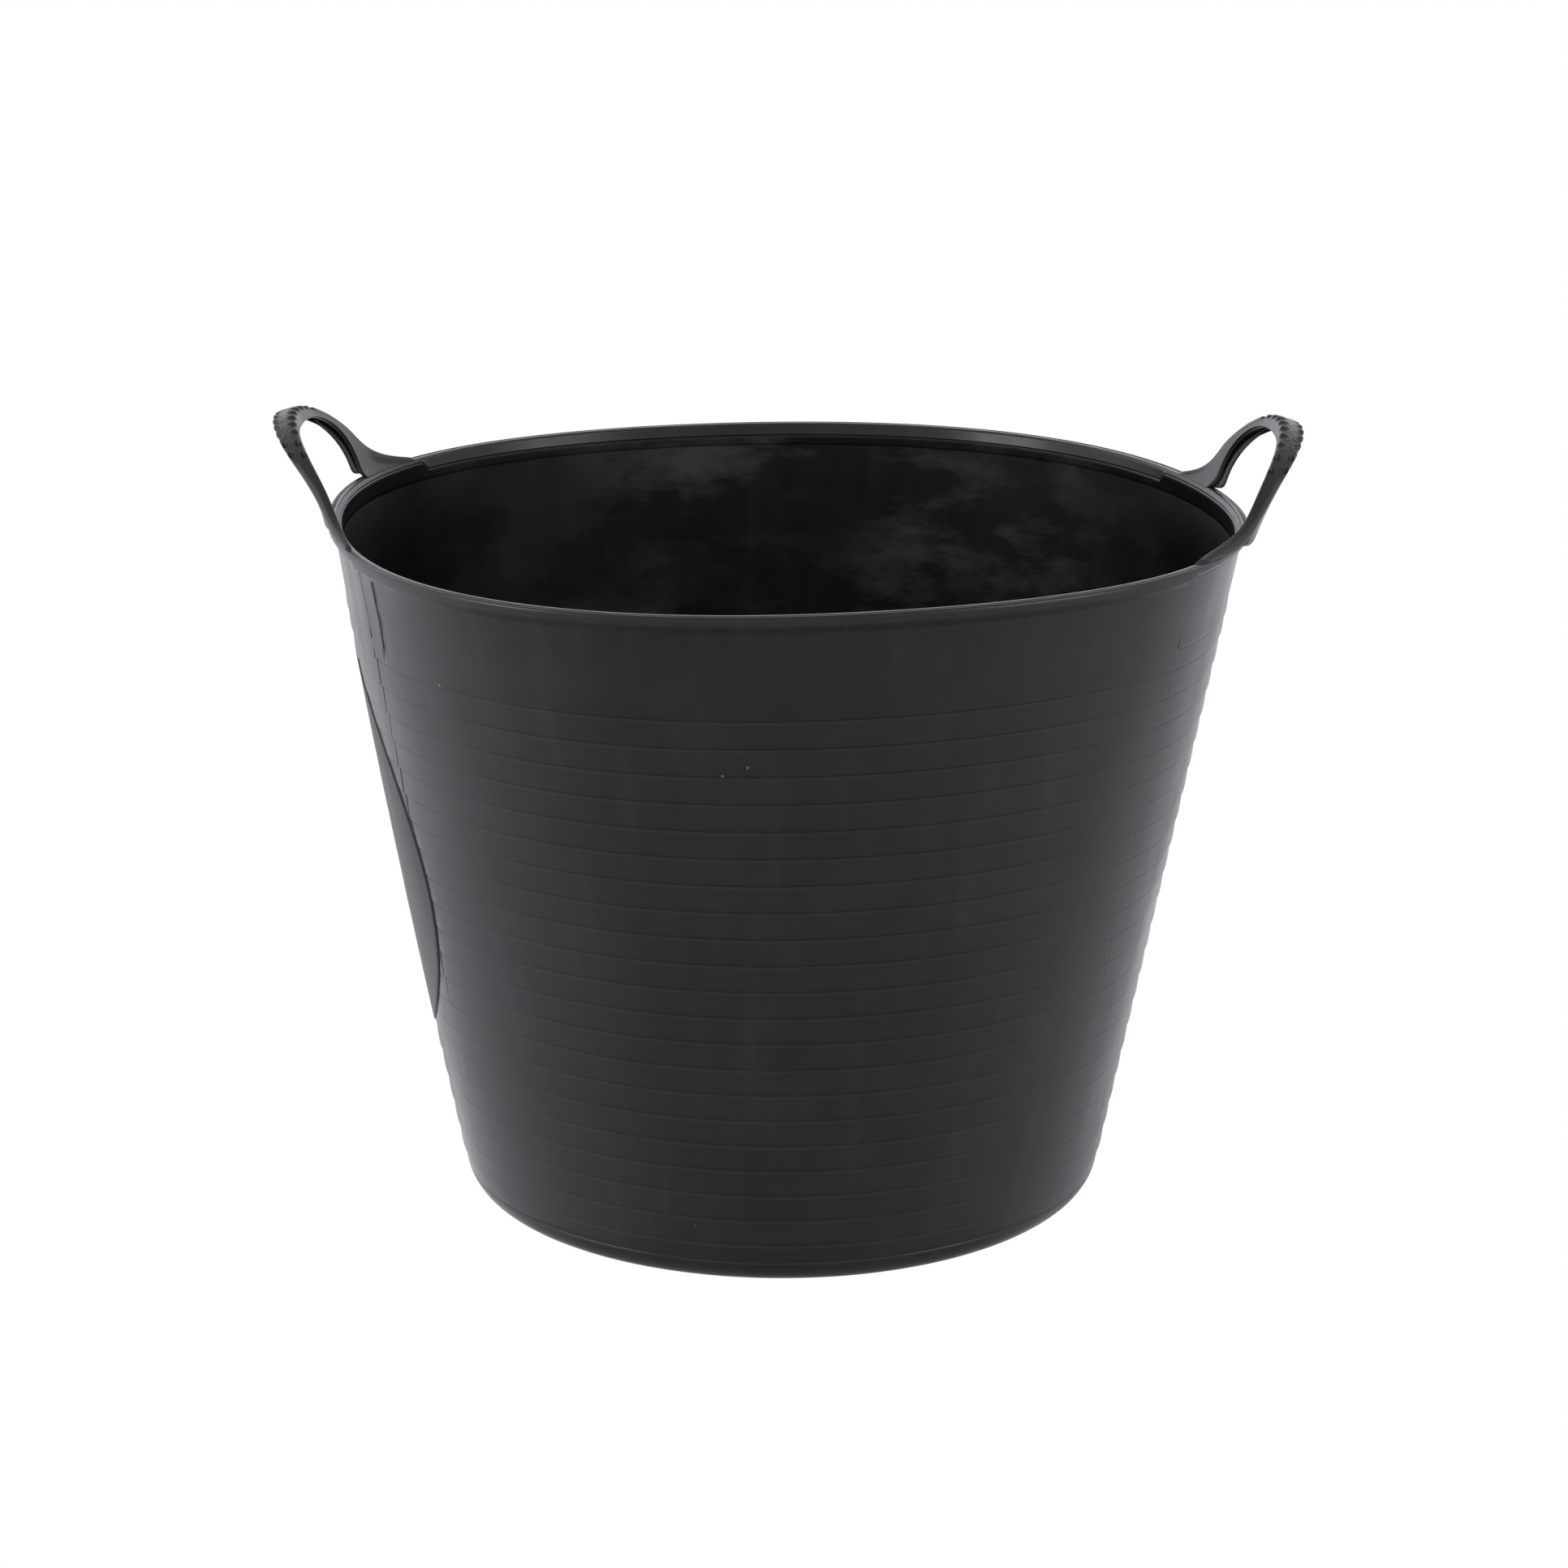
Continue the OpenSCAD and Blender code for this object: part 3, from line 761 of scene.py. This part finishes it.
# -------------------------------------------------------------------- materials
def plastic(name, base, rough, mottled, streaks, dust, shine=0.5, smears_and_side_shade=0.0):
    """Dyed polyethylene: dark, waxy, with uneven gloss, streaks and specks of dust; the
    inside kind also gets a hazy film of smears and painted shade towards the handle sides.
    """
    mat = bpy.data.materials.new(name)
    mat.use_nodes = True
    nt = mat.node_tree
    nt.nodes.clear()
    out = nt.nodes.new("ShaderNodeOutputMaterial")
    bsdf = nt.nodes.new("ShaderNodeBsdfPrincipled")
    nt.links.new(bsdf.outputs["BSDF"], out.inputs["Surface"])
    coord = nt.nodes.new("ShaderNodeTexCoord")

    def noise(scale, detail, roughness, stretch=(1, 1, 1)):
        mapping = nt.nodes.new("ShaderNodeMapping")
        mapping.inputs["Scale"].default_value = stretch
        nt.links.new(coord.outputs["Object"], mapping.inputs["Vector"])
        tex = nt.nodes.new("ShaderNodeTexNoise")
        tex.inputs["Scale"].default_value = scale
        tex.inputs["Detail"].default_value = detail
        tex.inputs["Roughness"].default_value = roughness
        nt.links.new(mapping.outputs["Vector"], tex.inputs["Vector"])
        return tex.outputs["Fac"]

    def remap(value, lo, hi, to_lo, to_hi):
        node = nt.nodes.new("ShaderNodeMapRange")
        node.inputs["From Min"].default_value = lo
        node.inputs["From Max"].default_value = hi
        node.inputs["To Min"].default_value = to_lo
        node.inputs["To Max"].default_value = to_hi
        nt.links.new(value, node.inputs["Value"])
        return node.outputs["Result"]

    def maths(op, a, b):
        node = nt.nodes.new("ShaderNodeMath")
        node.operation = op
        for socket, value in zip(node.inputs, (a, b)):
            if isinstance(value, (int, float)):
                socket.default_value = value
            else:
                nt.links.new(value, socket)
        return node.outputs["Value"]

    def mix(factor, a, b):
        node = nt.nodes.new("ShaderNodeMix")
        node.data_type = "RGBA"
        nt.links.new(factor, node.inputs["Factor"])
        # inputs 6 and 7 and output 2 are the node's colour sockets
        for socket, value in ((node.inputs[6], a), (node.inputs[7], b)):
            if isinstance(value, tuple):
                socket.default_value = (*value, 1)
            else:
                nt.links.new(value, socket)
        return node.outputs[2]

    big = noise(9, 4, 0.55)
    cloud = noise(32, 5, 0.6)
    streak = noise(60, 3, 0.5, (1, 1, 0.05))
    colour = mix(
        remap(cloud, 0.35, 0.7, 0, mottled),
        base,
        tuple(min(1, c * 1.55 + 0.004) for c in base),
    )
    colour = mix(
        remap(streak, 0.52, 0.8, 0, streaks),
        colour,
        tuple(min(1, c * 2.0 + 0.006) for c in base),
    )
    if smears_and_side_shade:
        film = noise(13, 7, 0.66, (1.0, 1.0, 2.6))
        patch = noise(4.2, 3, 0.5)
        apart = nt.nodes.new("ShaderNodeSeparateXYZ")
        nt.links.new(coord.outputs["Object"], apart.inputs["Vector"])
        across = maths("ABSOLUTE", apart.outputs["X"], 0)
        # Painted shade: past 0.15 m from the middle the inside colour turns much darker,
        # standing in for shade at the sides.
        painted_side_shade = remap(across, 0.15, 0.195, 0, 0.9)
        film = maths("MULTIPLY", film, remap(across, 0.02, 0.10, 0.86, 1.03))
        film = maths("MULTIPLY", film, remap(apart.outputs["X"], -0.1, 0.1, 1.10, 0.90))
        thick = remap(patch, 0.38, 0.52, 0.15, smears_and_side_shade)
        haze = maths("MULTIPLY", remap(film, 0.44, 0.60, 0, 1), thick)
        colour = mix(haze, colour, (0.085, 0.078, 0.085))
        colour = mix(painted_side_shade, colour, (0.0045, 0.0040, 0.0048))
    speck = nt.nodes.new("ShaderNodeTexVoronoi")
    speck.inputs["Scale"].default_value = 75
    speck.inputs["Randomness"].default_value = 1
    nt.links.new(coord.outputs["Object"], speck.inputs["Vector"])
    near = maths("LESS_THAN", speck.outputs["Distance"], 0.055)
    rare = maths("GREATER_THAN", noise(26, 2, 0.5), 0.66)
    dusty = maths("MULTIPLY", maths("MULTIPLY", near, rare), dust)
    colour = mix(dusty, colour, (0.5, 0.48, 0.46))
    nt.links.new(colour, bsdf.inputs["Base Color"])
    uneven = remap(big, 0.3, 0.7, -0.05, 0.05)
    uneven = maths("ADD", uneven, remap(streak, 0.3, 0.7, -0.04, 0.04))
    nt.links.new(maths("ADD", uneven, rough), bsdf.inputs["Roughness"])
    bsdf.inputs["IOR"].default_value = 1.5
    bsdf.inputs["Specular IOR Level"].default_value = shine
    fine = noise(900, 3, 0.6)
    bump = nt.nodes.new("ShaderNodeBump")
    bump.inputs["Strength"].default_value = 0.12
    bump.inputs["Distance"].default_value = 0.0002
    nt.links.new(fine, bump.inputs["Height"])
    wave = nt.nodes.new("ShaderNodeBump")
    wave.inputs["Strength"].default_value = 0.25
    wave.inputs["Distance"].default_value = 0.0012
    nt.links.new(noise(22, 2, 0.5, (1, 1, 0.35)), wave.inputs["Height"])
    nt.links.new(wave.outputs["Normal"], bump.inputs["Normal"])
    nt.links.new(bump.outputs["Normal"], bsdf.inputs["Normal"])
    return mat


CHARCOAL = (0.0175, 0.0163, 0.0188)
# Darker than CHARCOAL: painted shade on the faces inside the tub, which are the same
# plastic as the outside.
SHADED_INSIDE = (0.0132, 0.0122, 0.0141)
PANEL = (0.0165, 0.0150, 0.0178)
# About six times lighter than CHARCOAL: painted light on the inward faces of the handles'
# outer plates, which are the same plastic.
CHANNEL_PAINTED_LIGHT = (0.110, 0.104, 0.113)
tub_mat = plastic("tub_plastic", CHARCOAL, 0.31, 0.5, 0.5, 0.35)
shaded_inside_mat = plastic("tub_inside_painted_shade", SHADED_INSIDE, 0.44, 0.3, 0.4, 0.35, shine=0.02, smears_and_side_shade=1.0)
panel_mat = plastic("panel_plastic", PANEL, 0.42, 0.3, 0.2, 0.2, shine=0.3)
painted_light_channel_mat = plastic("handle_channel_painted_light", CHANNEL_PAINTED_LIGHT, 0.62, 0.3, 0.1, 0.2)
handle_mat = plastic("handle_plastic", CHARCOAL, 0.36, 0.35, 0.1, 0.25)


# ------------------------------------------------------------- building the tub
for made, node, mat, slot in (
    (build_wall(), "wall_shell", tub_mat, "tub_plastic"),
    (build_base(), "base_panel", tub_mat, "tub_plastic"),
    (build_rim(), "rim_band", tub_mat, "tub_plastic"),
    (build_panel(), "badge_panel", panel_mat, "panel_plastic"),
):
    fix_normals(made)
    made.data.materials.append(mat)
    if node != "badge_panel":
        made.data.materials.append(shaded_inside_mat)
        mark_inside(made)
    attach(made, "tub")
    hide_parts(node)
build_handle(LEFT)
build_handle(RIGHT)

# ------------------------------------------------------------- floor and lights
def glowing(name, colour):
    """Plain white emission, for the floor and backdrop that only the camera sees."""
    mat = bpy.data.materials.new(name)
    mat.use_nodes = True
    nt = mat.node_tree
    nt.nodes.clear()
    out = nt.nodes.new("ShaderNodeOutputMaterial")
    glow = nt.nodes.new("ShaderNodeEmission")
    glow.inputs["Color"].default_value = (*colour, 1)
    nt.links.new(glow.outputs["Emission"], out.inputs["Surface"])
    return mat


def stage_only(ob, colour):
    """A white stage piece that only the camera sees, so that it lights nothing."""
    ob.data.materials.append(glowing(ob.name + "_white", colour))
    for kind in ("diffuse", "glossy", "transmission", "volume_scatter", "shadow"):
        setattr(ob, "visible_" + kind, False)


FLOOR_HALF, FLOOR_DROP = 13000, 0.4
BACKDROP_R, BACKDROP_FOOT, BACKDROP_TOP, BACKDROP_N = 11000, -20, 9000, 24
WHITE = (1.0, 1.0, 1.0)
corners = [
    (x * FLOOR_HALF, y * FLOOR_HALF, -FLOOR_DROP)
    for x, y in ((-1, -1), (1, -1), (1, 1), (-1, 1))
]
stage_only(mesh_object("floor", corners, [(0, 1, 2, 3)], False), WHITE)
turns = np.linspace(0, 2 * math.pi, BACKDROP_N, endpoint=False)
circle = [
    (BACKDROP_R * math.cos(t), BACKDROP_R * math.sin(t), z)
    for z in (BACKDROP_FOOT, BACKDROP_TOP)
    for t in turns
]
sides = grid_faces(2, BACKDROP_N, False, True, True).tolist()
top = list(range(BACKDROP_N, 2 * BACKDROP_N))
stage_only(mesh_object("backdrop", circle, sides + [top], False), WHITE)

# The studio's brightness against direction, as stops of (-1 to 1, brightness). Its
# sides and back are bright, the side in front of the tub is darker, and the ceiling dim.
BACK_TO_FRONT = (
    (-1, 1.05), (-0.6, 0.92), (-0.1, 0.8), (0.35, 0.68), (0.75, 0.45), (1, 0.41),
)
DOWN_TO_UP = (
    (-1, 0.3), (-0.72, 0.4), (-0.6, 0.74), (-0.5, 0.82), (-0.42, 1.02), (0, 1.2),
    (0.25, 1.3), (0.45, 0.9), (1, 0.55),
)
LEFT_TO_RIGHT = ((-1, 1.08), (-0.3, 1.03), (0.3, 0.96), (1, 0.74))
STUDIO_TINT = (1.0, 0.962, 1.02, 1)
BRIGHTEST = 4  # the curves hold brightness divided by this

world = bpy.data.worlds.new("studio")
bpy.context.scene.world = world
bpy.context.scene.view_settings.view_transform = "Standard"
world.use_nodes = True
wt = world.node_tree
direction = wt.nodes.new("ShaderNodeTexCoord").outputs["Generated"]


def world_ramp(toward, stops):
    """Brightness along one direction, from -1 (away from it) to 1 (straight at it)."""
    dot = wt.nodes.new("ShaderNodeVectorMath")
    dot.operation = "DOT_PRODUCT"
    dot.inputs[1].default_value = Vector(toward).normalized()
    wt.links.new(direction, dot.inputs[0])
    curve = wt.nodes.new("ShaderNodeFloatCurve")
    points = curve.mapping.curves[0].points
    while len(points) < len(stops):
        points.new(0.5, 0.5)
    for point, (x, y) in zip(points, stops):
        point.location = ((x + 1) / 2, y / BRIGHTEST)
        point.handle_type = "AUTO_CLAMPED"
    curve.mapping.update()
    to_unit = wt.nodes.new("ShaderNodeMapRange")
    to_unit.inputs["From Min"].default_value = -1
    wt.links.new(dot.outputs["Value"], to_unit.inputs["Value"])
    wt.links.new(to_unit.outputs["Result"], curve.inputs["Value"])
    scale = wt.nodes.new("ShaderNodeMath")
    scale.operation = "MULTIPLY"
    scale.inputs[1].default_value = BRIGHTEST
    wt.links.new(curve.outputs["Value"], scale.inputs[0])
    return scale.outputs["Value"]


def world_times(a, b):
    """Product of two values in the world's nodes."""
    node = wt.nodes.new("ShaderNodeMath")
    node.operation = "MULTIPLY"
    wt.links.new(a, node.inputs[0])
    wt.links.new(b, node.inputs[1])
    return node.outputs["Value"]


across = world_ramp((0, -1, 0), BACK_TO_FRONT)
upward = world_ramp((0, 0, 1), DOWN_TO_UP)
sideways = world_ramp((1, 0, 0), LEFT_TO_RIGHT)
strength = world_times(world_times(across, upward), sideways)
wt.nodes["Background"].inputs["Color"].default_value = STUDIO_TINT
wt.links.new(strength, wt.nodes["Background"].inputs["Strength"])


def soft_box(name, at, target, size, power):
    """A square area light, size in m and power in W, turned towards target."""
    data = bpy.data.lights.new(name, "AREA")
    data.shape = "RECTANGLE"
    data.size = data.size_y = size
    data.energy = power
    ob = bpy.data.objects.new(name, data)
    bpy.context.scene.collection.objects.link(ob)
    ob.location = Vector(at)
    ob.rotation_euler = (Vector(target) - Vector(at)).to_track_quat("-Z", "Y").to_euler()


soft_box("left_box", (-1.7, -0.9, 1.0), (0, 0, 0.3), 0.9, 9)
soft_box("right_box", (1.7, -0.9, 1.0), (0, 0, 0.3), 0.9, 7)

# ----------------------------------------------------------------------- camera
cam_data = bpy.data.cameras.new("camera")
cam_data.lens = 92.0
cam_data.sensor_width = 36.0
cam_data.clip_start, cam_data.clip_end = 0.05, 60
camera = bpy.data.objects.new("camera", cam_data)
bpy.context.scene.collection.objects.link(camera)
turn, dip = math.radians(3.1), math.radians(15.92)
look = Vector((-math.sin(turn), math.cos(turn), -math.tan(dip)))
camera.location = (0.1034, -1.8889, 0.7396)
camera.rotation_euler = look.to_track_quat("-Z", "Y").to_euler()
bpy.context.scene.camera = camera
